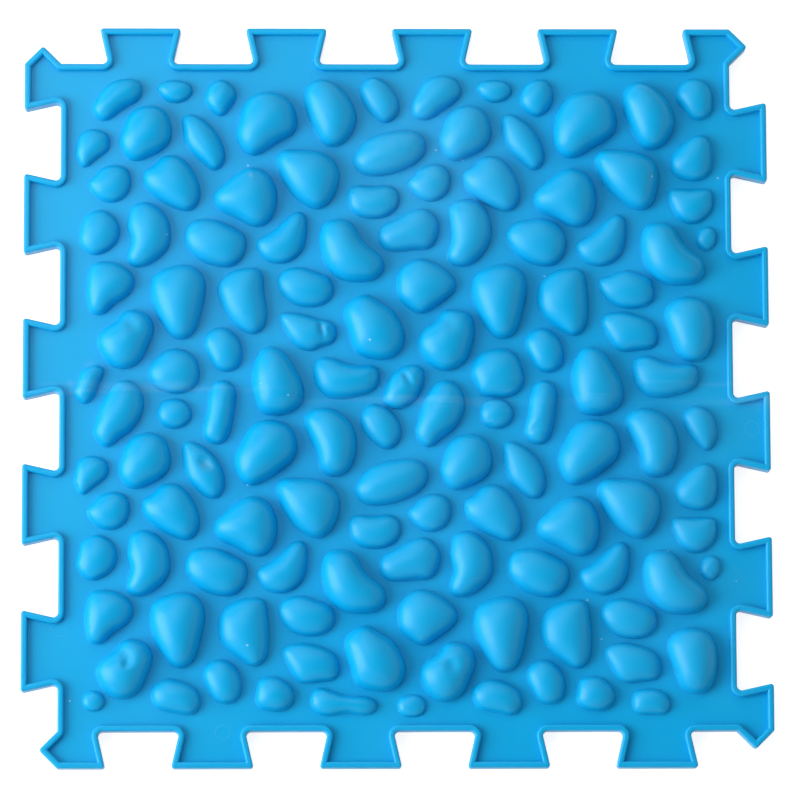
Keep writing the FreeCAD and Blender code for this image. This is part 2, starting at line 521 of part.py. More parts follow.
def place(item, turns, along, out, level="0"):
    """Turn an item by quarter turns and set it down, along a side and outwards from the middle."""
    item.Placement = Placement(Vector(), Rotation(Vector(0, 0, 1), 90 * turns))
    cos, sin = ((1, 0), (0, 1), (-1, 0), (0, -1))[turns]
    item.setExpression("Placement.Base.x", f"{cos} * ({along}) - {sin} * ({out})")
    item.setExpression("Placement.Base.y", f"{sin} * ({along}) + {cos} * ({out})")
    item.setExpression("Placement.Base.z", level)


def new_body(name):
    """An empty body with its own name."""
    body = doc.addObject("PartDesign::Body", name)
    body.Label = name
    return body


def lipped_tab(name, plate_corners, lip_corners, tip_points, end_middles):
    """A tab: a plate as thick as the sheet with the lip along its free edge, rounded on top."""
    body = new_body(name)
    plate = outline(body, f"{name}_plan", "0", plate_corners)
    pad(body, f"{name}_plate", plate, "Sizes.sheet_thickness")
    band = outline(body, f"{name}_band", "Sizes.sheet_thickness", lip_corners)
    lip = pad(body, f"{name}_lip", band, LIP_RISE)
    tips = [(size(x), size(y)) for x, y in tip_points]
    ends = [(size(x), size(y)) for x, y in end_middles]
    rounded = fillet(body, f"{name}_tips", lip, lambda edge: is_upright_at(edge, tips), "Sizes.tip_radius")
    level = size("Sizes.edge_height")
    fillet(body, f"{name}_rim", rounded, lambda edge: is_upper_rim(edge, level, ends), "Sizes.lip_round")
    return body


# The lip runs round each notch in one band. On a tab it follows the flank into the notch and
# over the body's sheet, as far as the straight bottom of the notch, where the notch lip begins.

ROOT_BAND = f"({ROOT} + {LIP})"


def flank_end(foot, side, radius):
    """Where an arc about a notch's corner meets the flank; side is +1 where the tab is to its left."""
    return f"{foot} - {side} * {radius} * cos({LEAN})", f"{ROOT} + {radius} * sin({LEAN})"


def whole_tab(name):
    """A dovetail tab, the same on both sides of its middle, which is its origin."""
    half = f"({STEP}) / 2"
    foot = f"({half} + {FOOT})"
    tip = f"({half} + {DEPTH} / 2 * tan({LEAN}))"
    inner_tip = f"({half} + ({DEPTH} / 2 - {LIP}) * tan({LEAN}) - {LIP} / cos({LEAN}))"
    inner_level = f"{DEPTH} - {LIP}"
    low_x, low_y = flank_end(foot, 1, ROOT)
    band_x, band_y = flank_end(foot, 1, ROOT_BAND)
    free_edge = (
        (foot, "0", (foot, ROOT, ROOT, False)),
        (low_x, low_y), (tip, DEPTH), (f"-{tip}", DEPTH),
        (f"-({low_x})", low_y, (f"-{foot}", ROOT, ROOT, False)),
        (f"-{foot}", "0"),
    )
    inner_edge = (
        (f"-{foot}", f"-{LIP}", (f"-{foot}", ROOT, ROOT_BAND, True)),
        (f"-({band_x})", band_y), (f"-{inner_tip}", inner_level), (inner_tip, inner_level),
        (band_x, band_y, (foot, ROOT, ROOT_BAND, True)),
        (foot, f"-{LIP}"),
    )
    tips = ((tip, DEPTH), (f"-{tip}", DEPTH))
    ends = ((foot, f"-{LIP} / 2"), (f"-{foot}", f"-{LIP} / 2"))
    return lipped_tab(name, free_edge, free_edge + inner_edge, tips, ends)


def corner_tab(name):
    """A tab at the end of a side, with a flank on its left and an arrow head over the corner.

    Its origin is the corner of the body. The head is a square corner that stands on that point.
    """
    foot = f"(-Sizes.corner_reach - {FOOT})"
    tip = f"(-Sizes.corner_reach - {DEPTH} / 2 * tan({LEAN}))"
    inner_tip = f"({LIP} / cos({LEAN}) - Sizes.corner_reach - ({DEPTH} / 2 - {LIP}) * tan({LEAN}))"
    head = f"{DEPTH} / 2"
    free_edge = (
        ("0", "0"), (head, head), ("0", DEPTH), (tip, DEPTH),
        flank_end(foot, -1, ROOT) + ((foot, ROOT, ROOT, False),),
        (foot, "0"),
    )
    inner_edge = (
        (foot, f"-{LIP}", (foot, ROOT, ROOT_BAND, True)),
        flank_end(foot, -1, ROOT_BAND),
        (inner_tip, f"{DEPTH} - {LIP}"),
        (f"{LIP} * (1 - sqrt(2))", f"{DEPTH} - {LIP}"),
        (f"{head} - {LIP} * sqrt(2)", head),
        (f"-{LIP} / sqrt(2)", f"{LIP} / sqrt(2)", ("0", "0", LIP, True)),
        (f"-{LIP}", "0"),
    )
    tips = ((head, head), ("0", DEPTH), (tip, DEPTH))
    ends = ((foot, f"-{LIP} / 2"), (f"-{LIP} / 2", "0"))
    return lipped_tab(name, free_edge, free_edge + inner_edge, tips, ends)


def straight_lip(name, start, end):
    """A straight stretch of lip on the edge of the sheet, along the bottom of a notch."""
    body = new_body(name)
    corners = ((start, f"-{LIP}"), (end, f"-{LIP}"), (end, "0"), (start, "0"))
    lip = pad(body, f"{name}_bar", outline(body, f"{name}_plan", "0", corners), LIP_RISE)
    level = size(LIP_RISE)
    ends = [(size(x), size(f"-{LIP} / 2")) for x in (start, end)]
    fillet(body, f"{name}_rim", lip, lambda edge: is_upper_rim(edge, level, ends), "Sizes.lip_round")
    return body


def side_parts(side, turns):
    """The tabs, the corner tab and the notch lips of one side of the tile."""
    count = round(size("Sizes.tab_count"))
    for number in range(count):
        tab = whole_tab(f"tab_{side}_{number + 1}")
        place(tab, turns, f"(2 * {number} - Sizes.tab_count + 0.5) * ({STEP})", HALF)
        nodes.append(tab)
    corner = corner_tab(f"corner_tab_{side}")
    place(corner, turns, HALF, HALF)
    nodes.append(corner)
    lips = [straight_lip(f"corner_notch_lip_{side}", "0", f"Sizes.corner_reach - {FOOT}")]
    place(lips[0], turns, f"-{HALF}", HALF, "Sizes.sheet_thickness")
    reach = f"(({STEP}) / 2 - {FOOT})"
    for number in range(count):
        lip = straight_lip(f"notch_lip_{side}_{number + 1}", f"-{reach}", reach)
        along = f"(2 * {number} - Sizes.tab_count + 1.5) * ({STEP})"
        place(lip, turns, along, HALF, "Sizes.sheet_thickness")
        lips.append(lip)
    group = doc.addObject("Part::Compound", f"notch_lips_{side}")
    group.Label = f"notch_lips_{side}"
    group.Links = lips
    nodes.append(group)


# Pebbles: hollow domes with a thin wall and a small concave foot, open to the underside

def closed_curve(points, level):
    """A smooth closed curve through points, at a level."""
    curve = Part.BSplineCurve()
    curve.interpolate([Vector(point.x, point.y, level) for point in points], PeriodicFlag=True)
    return Part.Wire([curve.toShape()])


def drawn_in(points, distance):
    """Points moved towards the middle by a distance."""
    return [point * (1 - distance / point.Length) for point in points]


def shrunk(points, distance):
    """Points scaled towards the middle, so that they move by a distance on average."""
    mean_reach = sum(point.Length for point in points) / len(points)
    return [point * (1 - distance / mean_reach) for point in points]


def dome(points, height, level):
    """A solid dome over an outline, as tall as height above a level."""
    wires = [
        closed_curve([point * reach_share for point in points], level + height * rise_share)
        for reach_share, rise_share in dome_shares
    ]
    return Part.makeLoft(wires, True, False)


def pebble(points, height, hollow):
    """One pebble standing on the sheet, about its own middle, and the outline of its pocket."""
    top = size("Sizes.sheet_thickness")
    reach, rise = size("Sizes.foot_reach"), size("Sizes.foot_rise")
    foot = Part.makeLoft([
        closed_curve(points, top),
        closed_curve(drawn_in(points, reach), top + rise),
    ], True, True)
    solid = foot.fuse(dome(drawn_in(points, reach), height - rise, top + rise)).removeSplitter()
    if not hollow:
        return solid, None
    wall = size("Sizes.pebble_wall")
    inner = shrunk(points, reach + wall)
    overrun = size("Sizes.cut_overrun")
    well = Part.Face(closed_curve(inner, top - overrun)).extrude(Vector(0, 0, overrun + rise))
    solid = solid.cut(well.fuse(dome(inner, height - rise - wall, top + rise)))
    pocket = Part.Face(closed_curve(inner, -overrun)).extrude(Vector(0, 0, top + 2 * overrun))
    return solid, pocket


def pebble_group(name, rows):
    """All the pebbles of one design, as one sub-part, and the pockets under them."""
    width = size(f"{HALF} - Sizes.side_margin")
    length = size(f"{HALF} - Sizes.end_margin")
    tallest = size("Sizes.pebble_height")
    solids, pockets = [], []
    for height_share, middle_shares, outline_shares in rows:
        unit = width * outline_unit_share
        points = [Vector(x_share, y_share, 0) * unit for x_share, y_share in outline_shares]
        solid, pocket = pebble(points, tallest * height_share, height_share > hollow_share)
        for block, (x_share, y_share) in middle_shares.items():
            column_share, row_share = block_shares[block]
            middle = Vector((column_share + x_share) * width, (row_share + y_share) * length, 0)
            solids.append(solid.translated(middle))
            if pocket:
                pockets.append(pocket.translated(middle))
    group = doc.addObject("Part::Feature", name)
    group.Label = name
    group.Shape = Part.Compound(solids)
    group.Placement = Placement()
    nodes.append(group)
    return pockets


def field_sheet(pockets):
    """The flat sheet of the body, pierced under every hollow pebble."""
    blank = doc.addObject("Part::Box", "sheet_blank")
    blank.setExpression("Length", f"2 * {HALF}")
    blank.setExpression("Width", f"2 * {HALF}")
    blank.setExpression("Height", "Sizes.sheet_thickness")
    blank.setExpression("Placement.Base.x", f"-{HALF}")
    blank.setExpression("Placement.Base.y", f"-{HALF}")
    wells = doc.addObject("Part::Feature", "pebble_wells")
    wells.Shape = Part.Compound(pockets)
    pierced = doc.addObject("Part::Cut", "field_sheet")
    pierced.Label = "field_sheet"
    pierced.Base, pierced.Tool = blank, wells
    nodes.append(pierced)


def check_document():
    """Stop if any object has failed, or if a sub-part's shape is empty or not valid."""
    for item in doc.Objects:
        if {"Invalid", "Error"} & set(item.State):
            raise RuntimeError(f"{item.Label} failed: {item.State}")
    for node in nodes:
        if node.Shape.isNull() or not node.Shape.isValid() or not node.Shape.Solids:
            raise RuntimeError(f"{node.Label} has no valid solid")


def write_parts():
    """Write every sub-part to its own file, named by its label."""
    os.makedirs("parts", exist_ok=True)
    for node in nodes:
        node.Shape.exportStep(f"parts/{node.Label}.step")
        print(f"{node.Label}: {len(node.Shape.Solids)} solids, {node.Shape.Volume:.1f} mm3")


nodes = []
for side, turns in SIDES:
    side_parts(side, turns)
wells = []
for name, rows in pebble_shares.items():
    wells.extend(pebble_group(name, rows))
field_sheet(wells)
doc.recompute()
check_document()
write_parts()
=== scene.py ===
"""Looks of the sensory mat tile: soft blue pebbles on a moulded sheet with a dovetail edge.

The sheet, tabs and lips are the CAD nodes with a better material. Every pebble is made again as
a finer shell: its outline is the CAD pebble's own, and its crown swells like a cushion over that
outline, so a kidney has a curved ridge and a two-lobed pebble a saddle. Lengths are in metres.
"""
import math

import bmesh
import bpy
import numpy as np
from mathutils import Matrix, Vector


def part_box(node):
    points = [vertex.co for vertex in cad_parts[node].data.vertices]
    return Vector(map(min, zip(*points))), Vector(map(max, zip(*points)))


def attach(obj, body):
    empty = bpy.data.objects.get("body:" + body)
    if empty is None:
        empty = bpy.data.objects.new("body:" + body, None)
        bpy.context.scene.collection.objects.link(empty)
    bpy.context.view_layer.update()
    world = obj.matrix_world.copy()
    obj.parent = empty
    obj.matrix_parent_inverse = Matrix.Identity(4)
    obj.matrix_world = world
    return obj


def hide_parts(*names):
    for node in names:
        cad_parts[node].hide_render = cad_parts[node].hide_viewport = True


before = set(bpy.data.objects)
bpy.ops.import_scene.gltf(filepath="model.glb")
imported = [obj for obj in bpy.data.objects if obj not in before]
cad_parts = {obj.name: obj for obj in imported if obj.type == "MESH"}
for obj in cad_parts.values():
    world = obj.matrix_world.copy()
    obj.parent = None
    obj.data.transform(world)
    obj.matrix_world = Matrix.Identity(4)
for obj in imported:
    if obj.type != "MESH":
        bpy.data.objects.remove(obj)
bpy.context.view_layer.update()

MM = 0.001

# The photograph's camera: how far off, and how it leans from straight above, in degrees

CAMERA_TARGET = Vector((1.24, -1.15, 0.0)) * MM
CAMERA_DISTANCE = 1.9
CAMERA_TILT = 8.6
CAMERA_SIDE = -1.37
CAMERA_ROLL = -0.20
CAMERA_FOCUS = 5389 / 800     # focal length in image widths
SENSOR_WIDTH = 36.0           # millimetres
CAMERA_CLIP = (0.01, 100)

# Pebble shells

OUTLINE_POINTS = 112          # points round a pebble
OUTLINE_FINER = 4             # times as many while an outline is smoothed
OUTLINE_WAVES = 9             # finest wave kept of an outline that is read from the CAD mesh
HEART_STEPS = 41              # tries along each side when a pebble's heart is looked for
CROWN_RINGS = 24              # rings from a pebble's wall to its top
FLARE_RADIUS = 0.2 * MM       # hollow fillet where a pebble meets the sheet
FLARE_ANGLES = (0, 22, 42, 60, 76)
CROWN_FULLNESS = 0.52         # 0.5 swells like an ellipsoid, less is fuller
PEBBLE_WALL = 2.0 * MM
FACES_DOWN = -0.99            # a face whose normal is lower than this is part of an underside
WELD_DISTANCE = 0.001 * MM
LEVEL_TOLERANCE = 0.01 * MM

# Pebbles whose CAD outline has a small beak that the photo hasn't: the side where it juts, in
# degrees from +X, and how far before and after it the outline is drawn afresh, anticlockwise

BEAKS = {"pebble_tall_drop": (180, 9.0 * MM, 17.0 * MM)}

PEBBLE_PREFIX = "pebble_"
BODY = "root"

# Dimples and folds in single pebbles, in millimetres: middle, half length, half width, how the
# long side lies in degrees from +X, and how deep

DENTS = (
    ((-93.5, 25.0), 5.0, 2.6, -50, 1.1),
    ((18.0, 25.5), 4.6, 2.4, -45, 0.7),
    ((-95.0, -92.0), 4.2, 2.4, -50, 1.5),
    ((-94.5, -95.5), 1.5, 1.3, 0, 0.9),
    ((18.8, -96.0), 3.4, 2.5, -55, 1.1),
    ((-66.8, -24.8), 1.8, 3.0, 60, 1.3),
    ((-64.5, -22.5), 1.5, 1.5, 0, -0.7),
    ((-26.5, 23.5), 1.1, 3.4, 10, 1.5),
    ((-22.5, 22.8), 2.0, 1.2, 0, 0.8),
    ((3.4, 6.0), 1.3, 3.8, 30, 0.9),
    ((48.7, -12.0), 5.0, 1.6, 0, 0.8),
    ((-48.9, 77.2), 1.4, 2.4, 30, 0.35),
    ((-50.8, 80.0), 1.8, 1.1, 20, -0.3),
)


def solids_of(node):
    """The faces of each separate solid in a CAD node's mesh, one list after another. They are taken
    in the mesh's own order, so that every run gives the same pebbles."""
    whole = bmesh.new()
    whole.from_mesh(node.data)
    bmesh.ops.remove_doubles(whole, verts=whole.verts, dist=WELD_DISTANCE)
    whole.faces.index_update()
    taken = set()
    for first in whole.faces:
        if first.index in taken:
            continue
        taken.add(first.index)
        group = [first]
        for face in group:
            for edge in face.edges:
                for other in edge.link_faces:
                    if other.index not in taken:
                        taken.add(other.index)
                        group.append(other)
        yield group
    whole.free()


def loops_at(faces, level):
    """The closed curves where a solid's flat underside at a level ends, the longest first."""
    after = {}
    for face in faces:
        off_level = abs(face.calc_center_median().z - level)
        if face.normal.z > FACES_DOWN or off_level > LEVEL_TOLERANCE:
            continue
        for loop in face.loops:
            others = [other for other in loop.edge.link_faces if other is not face]
            if others and others[0].normal.z > FACES_DOWN:
                after[loop.vert] = loop.link_loop_next.vert
    curves = []
    while after:
        start, vert = after.popitem()
        curve = [start.co.xy]
        while vert is not start:
            curve.append(vert.co.xy)
            vert = after.pop(vert)
        curves.append(np.array(curve))
    return sorted(curves, key=lambda curve: -np.ptp(curve, axis=0).sum())


def without_beak(even, side, before, after):
    """A closed curve whose stretch round its outermost point on one side is a plain cubic."""
    step = abs(np.roll(even, -1) - even).mean()
    peak = (even * np.exp(-1j * math.radians(side))).real.argmax()
    count = round((before + after) / step)
    even = np.roll(even, round(before / step) - peak)
    start, end = even[0], even[count]
    leave, arrive = even[1] - even[-1], even[count + 1] - even[count - 1]
    leave, arrive = (way / abs(way) * abs(end - start) for way in (leave, arrive))
    t = np.linspace(0, 1, count + 1)
    even[:count + 1] = (start * (1 + 2 * t) * (1 - t) ** 2 + end * t * t * (3 - 2 * t)
                        + leave * t * (1 - t) ** 2 - arrive * t * t * (1 - t))
    return even


def smoothed(curve, beak):
    """A closed curve as evenly spaced points, anticlockwise, without the facets of its mesh."""
    flat = curve[:, 0] + 1j * curve[:, 1]
    if (flat.conj() * np.roll(flat, -1)).imag.sum() < 0:
        flat = flat[::-1]
    flat = np.append(flat, flat[0])
    reach = np.append(0, np.cumsum(abs(np.diff(flat))))
    places = np.linspace(0, reach[-1], OUTLINE_FINER * OUTLINE_POINTS, endpoint=False)
    even = np.interp(places, reach, flat)
    if beak:
        even = without_beak(even, *beak)
    waves = np.fft.fft(even)
    waves[OUTLINE_WAVES + 1:-OUTLINE_WAVES] = 0
    return np.fft.ifft(waves)[::OUTLINE_FINER]


def heart(outline):
    """The point inside an outline from which all of it is best seen."""
    sides = np.roll(outline, -1) - outline
    inward = 1j * sides / abs(sides)
    across = np.linspace(outline.real.min(), outline.real.max(), HEART_STEPS)
    up = np.linspace(outline.imag.min(), outline.imag.max(), HEART_STEPS)
    tries = (across[:, None] + 1j * up).ravel()[:, None]
    clearance = ((tries - outline) * inward.conj()).real.min(axis=1)
    return tries[clearance.argmax(), 0]


def swell(points, outline):
    """How far each point lies from the outline on all sides at once, as 1 over the sum of the
    outline's share of the view round it divided by its distance."""
    spokes = outline - points[:, None]
    reach = abs(spokes)
    turn = np.angle(np.roll(spokes, -1, axis=1) / spokes)
    half = np.tan(turn / 2)
    return 1 / ((half + np.roll(half, 1, axis=1)) / reach).sum(axis=1)


def crown(outline, middle, height):
    """Rings of points over an outline, from just above its edge to the top, and their heights."""
    turns = np.radians(np.linspace(90 / (CROWN_RINGS + 1), 90, CROWN_RINGS + 1)[:-1])
    plan = middle + np.outer(np.cos(turns), outline - middle)
    spots = np.append(plan.ravel(), middle)
    inside = swell(spots, outline)
    share = inside / inside.max()
    rise = height * share ** CROWN_FULLNESS - dent_depth(spots) * share
    return plan, rise[:-1].reshape(plan.shape), rise[-1]


def dent_depth(plan):
    """How far the dimples and folds take each point of a crown down."""
    depth = np.zeros(plan.shape)
    for (x, y), half_length, half_width, lie, deep in DENTS:
        away = (plan / MM - (x + 1j * y)) * np.exp(-1j * math.radians(lie))
        depth += deep * MM * np.exp(-(away.real / half_length) ** 2 - (away.imag / half_width) ** 2)
    return depth


def flare(outline):
    """Rings of the hollow fillet at the foot, from the sheet inwards, and their heights."""
    ahead = np.roll(outline, -1) - np.roll(outline, 1)
    outward = -1j * ahead / abs(ahead)
    angles = np.radians(FLARE_ANGLES)
    plan = outline + np.outer(FLARE_RADIUS * (1 - np.sin(angles)), outward)
    rise = np.repeat(FLARE_RADIUS * (1 - np.cos(angles)), len(outline)).reshape(plan.shape)
    return plan, rise


def ring_verts(mesh, plan, rise, level):
    """One ring of vertices."""
    return [mesh.verts.new((p.real, p.imag, level + z)) for p, z in zip(plan, rise)]


def bridge(mesh, low, high, smooth=True):
    """Faces between two rings."""
    for index in range(len(low)):
        after = (index + 1) % len(low)
        face = mesh.faces.new((low[index], low[after], high[after], high[index]))
        face.smooth = smooth


def cap(mesh, ring, top):
    """Faces from the last ring to the top."""
    for index in range(len(ring)):
        mesh.faces.new((ring[index], ring[(index + 1) % len(ring)], top)).smooth = True


def pebble_shell(mesh, curves, height, level, beak):
    """Add one pebble to a mesh: the outer skin from the sheet to the top, and the hollow."""
    outline = smoothed(curves[0], beak)
    middle = heart(outline)
    flare_plan, flare_rise = flare(outline)
    plan, rise, top_rise = crown(outline, middle, height - FLARE_RADIUS)
    rings = [ring_verts(mesh, p, z, level) for p, z in zip(flare_plan, flare_rise)]
    rings += [ring_verts(mesh, p, z, level + FLARE_RADIUS) for p, z in zip(plan, rise)]
    for low, high in zip(rings, rings[1:]):
        bridge(mesh, low, high)
    cap(mesh, rings[-1], mesh.verts.new((middle.real, middle.imag, level + FLARE_RADIUS + top_rise)))
    if len(curves) == 1:
        mesh.faces.new(rings[0][::-1])
        return
    inner = smoothed(curves[1], beak)
    inner = np.roll(inner, -abs(inner - outline[0]).argmin())
    middle = heart(inner)
    plan, rise, top_rise = crown(inner, middle, height - PEBBLE_WALL)
    hollow = [ring_verts(mesh, inner, np.zeros(len(inner)), level)]
    hollow += [ring_verts(mesh, p, z, level) for p, z in zip(plan, rise)]
    bridge(mesh, hollow[0], rings[0], smooth=False)
    for low, high in zip(hollow, hollow[1:]):
        bridge(mesh, high, low)
    top = mesh.verts.new((middle.real, middle.imag, level + top_rise))
    cap(mesh, hollow[-1][::-1], top)


def pebble_piece(name, node, level):
    """A finer piece for a CAD node of pebbles."""
    mesh = bmesh.new()
    for faces in solids_of(node):
        height = max(vert.co.z for face in faces for vert in face.verts) - level
        pebble_shell(mesh, loops_at(faces, level), height, level, BEAKS.get(name))
    data = bpy.data.meshes.new(f"{name}_shell")
    mesh.to_mesh(data)
    mesh.free()
    piece = bpy.data.objects.new(f"{name}_shell", data)
    bpy.context.scene.collection.objects.link(piece)
    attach(piece, BODY)
    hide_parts(name)
    return piece


# Material: satin soft plastic, moulded in one blue, with a fine matte grain, faint flow marks, a few pale
# specks and hair-thin scratches, and a broad painted sheen laid into the colour over the sheet's upper
# middle.
# Pattern scales are in repeats per metre.

PLASTIC_BLUE = (0.0, 0.36, 0.70)
# This pale blue is also the colour of the painted sheen, a pale reflection of light laid into the colour
HAZE_AND_SHEEN_BLUE = (0.12, 0.46, 0.75)      # a thin pale haze on the plastic
SPECK_WHITE = (0.62, 0.78, 0.88)
ROUGHNESS = (0.36, 0.42)             # least and most, in soft patches
SPECULAR = 0.30

GRAIN = (1500.0, 0.18, 0.03)         # scale, bump strength, bump depth in millimetres
WAVES = (32.0, 0.10, 0.5)
PATCH_SCALE = 14.0
PATCH_HAZE = 0.05                    # most haze in the soft patches
FLOW_SCALE = (10.0, 190.0, 1.0)      # flow marks run along X
FLOW_BAND = (0.5, 9.0)               # middle and half width of their band, in millimetres
SPECK_SCALE = 210.0
SPECK_STRENGTH = 0.55
HAIR_SCALE = (55.0, 240.0, 55.0)
HAIR_TURN = 35                       # degrees
HAIR_STRENGTH = 0.22                 # against the specks

# Faint rings that the mould's ejector pins leave: middles and radius, in millimetres

EJECTOR_MARKS = ((-60.9, -119.0), (-118.0, -82.8), (125.4, -12.0))
EJECTOR_RADIUS = 2.6
EJECTOR_LINE = 0.35
EJECTOR_BUMP = (0.5, 0.08)            # bump strength, bump depth in millimetres
EJECTOR_HAZE = 0.10

# Pale scuffs on single pebbles and on the sheet, and in the last row a wide painted sheen over the
# sheet's upper middle: middle and radius, in millimetres, and strength

SCUFFS_AND_SHEEN = (
    ((-51.4, 77.6), 1.6, 0.75), ((-66.6, -25.0), 3.2, 0.55), ((-26.0, 23.6), 1.5, 0.45),
    # The wide last spot is no scuff: it is a painted sheen, a pale reflection of light laid into the
    # colour
    ((-108.0, 11.0), 3.0, 0.25), ((-114.5, 4.0), 2.6, 0.25), ((10.0, 80.0), 46.0, 0.16),
)


class Nodes:
    """A short way to write a material's nodes: every method adds one and gives its output."""

    def __init__(self, material):
        material.use_nodes = True
        self.nodes, self.links = material.node_tree.nodes, material.node_tree.links
        self.shader = self.nodes["Principled BSDF"]

    def set(self, socket, value):
        """Link an output to an input, or write a number or a colour there."""
        if isinstance(value, bpy.types.NodeSocket):
            self.links.new(value, socket)
        else:
            socket.default_value = (*value, 1) if isinstance(value, tuple) and len(value) == 3 \
                and len(socket.default_value) == 4 else value

    def math(self, operation, first, second=0.0, third=0.0):
        node = self.nodes.new("ShaderNodeMath")
        node.operation = operation
        for socket, value in zip(node.inputs, (first, second, third)):
            self.set(socket, value)
        return node.outputs[0]

    def place(self, scale=(1.0, 1.0, 1.0), turn=0.0):
        """The point on the tile, in its own metres, stretched by a scale."""
        node = self.nodes.new("ShaderNodeMapping")
        node.inputs["Scale"].default_value = scale
        node.inputs["Rotation"].default_value[2] = math.radians(turn)
        self.links.new(self.nodes.new("ShaderNodeTexCoord").outputs["Object"], node.inputs["Vector"])
        return node.outputs[0]

    def noise(self, place, scale=1.0, detail=2.0):
        node = self.nodes.new("ShaderNodeTexNoise")
        self.set(node.inputs["Vector"], place)
        self.set(node.inputs["Scale"], scale)
        self.set(node.inputs["Detail"], detail)
        return node.outputs["Fac"]

    def ramp(self, value, low, high, start=0.0, end=1.0):
        """A value brought smoothly from one range to another, and held at its ends."""
        node = self.nodes.new("ShaderNodeMapRange")
        node.interpolation_type = "SMOOTHSTEP"
        for socket, number in zip(node.inputs, (value, low, high, start, end)):
            self.set(socket, number)
        return node.outputs[0]

    def away(self, x, y):
        """How far the point lies from an upright line through the tile."""
        spot = self.nodes.new("ShaderNodeVectorMath")
        spot.operation = "MULTIPLY"
        spot.inputs[1].default_value = (1, 1, 0)
        self.set(spot.inputs[0], self.place())
        node = self.nodes.new("ShaderNodeVectorMath")
        node.operation = "DISTANCE"
        node.inputs[1].default_value = (x * MM, y * MM, 0)
        self.set(node.inputs[0], spot.outputs[0])
        return node.outputs["Value"]

    def cells(self, place, feature="F1", output="Distance"):
        node = self.nodes.new("ShaderNodeTexVoronoi")
        node.feature = feature
        self.set(node.inputs["Vector"], place)
        self.set(node.inputs["Scale"], 1.0)
        return node.outputs[output]

    def mix(self, share, first, second):
        node = self.nodes.new("ShaderNodeMix")
        node.data_type = "RGBA"
        self.set(node.inputs["Factor"], share)
        self.set(node.inputs["A"], first)
        self.set(node.inputs["B"], second)
        return node.outputs["Result"]

    def bump(self, height, strength, depth, below=None):
        node = self.nodes.new("ShaderNodeBump")
        self.set(node.inputs["Strength"], strength)
        self.set(node.inputs["Distance"], depth * MM)
        self.set(node.inputs["Height"], height)
        if below:
            self.links.new(below, node.inputs["Normal"])
        return node.outputs[0]


def specks(kit):
    """Tiny pale points, one in some of the cells of a fine net."""
    net = kit.place((SPECK_SCALE,) * 3)
    colour = kit.nodes.new("ShaderNodeSeparateColor")
    kit.links.new(kit.cells(net, output="Color"), colour.inputs[0])
    chosen = kit.ramp(colour.outputs[0], 0.955, 0.96)
    return kit.math("MULTIPLY", chosen, kit.ramp(kit.cells(net), 0.04, 0.10, 1.0, 0.0))


def hairs(kit):
    """Hair-thin scratches: the edges of long cells, kept only in a few patches."""
    lines = kit.cells(kit.place(HAIR_SCALE, HAIR_TURN), "DISTANCE_TO_EDGE")
    thin = kit.ramp(lines, 0.0, 0.012, 1.0, 0.0)
    return kit.math("MULTIPLY", thin, kit.ramp(kit.noise(kit.place(), 40.0), 0.70, 0.76))


def scuffs_and_sheen(kit):
    """Pale rubbed spots, and one wide patch of painted sheen, broken up by a fine noise."""
    total = 0.0
    for (x, y), radius, strength in SCUFFS_AND_SHEEN:
        spot = kit.ramp(kit.away(x, y), 0.0, radius * MM, strength, 0.0)
        total = kit.math("ADD", spot, total)
    return kit.math("MULTIPLY", total, kit.ramp(kit.noise(kit.place(), 420.0, 4.0), 0.3, 0.6, 0.35, 1.0))


def flow_marks(kit):
    """Faint streaks along X where the plastic met itself in the mould, in a band near the middle."""
    streak = kit.ramp(kit.noise(kit.place(FLOW_SCALE), 1.0, 3.0), 0.52, 0.68)
    split = kit.nodes.new("ShaderNodeSeparateXYZ")
    kit.links.new(kit.place(), split.inputs[0])
    middle, reach = FLOW_BAND
    off = kit.math("ABSOLUTE", kit.math("SUBTRACT", split.outputs["Y"], middle * MM))
    return kit.math("MULTIPLY", streak, kit.ramp(off, 0.0, reach * MM, 0.35, 0.0))


def ejector_marks(kit):
    """Raised hairline rings, as heights from 0 to 1."""
    total = 0.0
    for x, y in EJECTOR_MARKS:
        off = kit.math("ABSOLUTE", kit.math("SUBTRACT", kit.away(x, y), EJECTOR_RADIUS * MM))
        total = kit.math("ADD", kit.ramp(off, 0.0, EJECTOR_LINE * MM, 1.0, 0.0), total)
    return total


def soft_plastic(name):
    """The blue plastic of the whole tile."""
    material = bpy.data.materials.new(name)
    kit = Nodes(material)
    patches = kit.noise(kit.place(), PATCH_SCALE, 3.0)
    marks = ejector_marks(kit)
    # The pale mix: real scuffs, flow marks, patches and ejector rings, plus one broad painted sheen on
    # the sheet
    haze_and_sheen = kit.math("ADD", scuffs_and_sheen(kit), flow_marks(kit))
    haze_and_sheen = kit.math("ADD", haze_and_sheen, kit.ramp(patches, 0.4, 0.75, 0.0, PATCH_HAZE))
    haze_and_sheen = kit.math("MULTIPLY_ADD", marks, EJECTOR_HAZE, haze_and_sheen)
    colour = kit.mix(haze_and_sheen, PLASTIC_BLUE, HAZE_AND_SHEEN_BLUE)
    flecks = kit.math("MAXIMUM", specks(kit), kit.math("MULTIPLY", hairs(kit), HAIR_STRENGTH))
    flecks = kit.math("MULTIPLY", flecks, SPECK_STRENGTH)
    kit.set(kit.shader.inputs["Base Color"], kit.mix(flecks, colour, SPECK_WHITE))
    kit.set(kit.shader.inputs["Roughness"], kit.ramp(patches, 0.3, 0.7, *ROUGHNESS))
    kit.set(kit.shader.inputs["Specular IOR Level"], SPECULAR)
    waves, strength, depth = WAVES
    normal = kit.bump(kit.noise(kit.place(), waves, 1.0), strength, depth)
    grain, strength, depth = GRAIN
    normal = kit.bump(kit.noise(kit.place(), grain, 3.0), strength, depth, normal)
    normal = kit.bump(marks, *EJECTOR_BUMP, normal)
    kit.set(kit.shader.inputs["Normal"], normal)
    return material


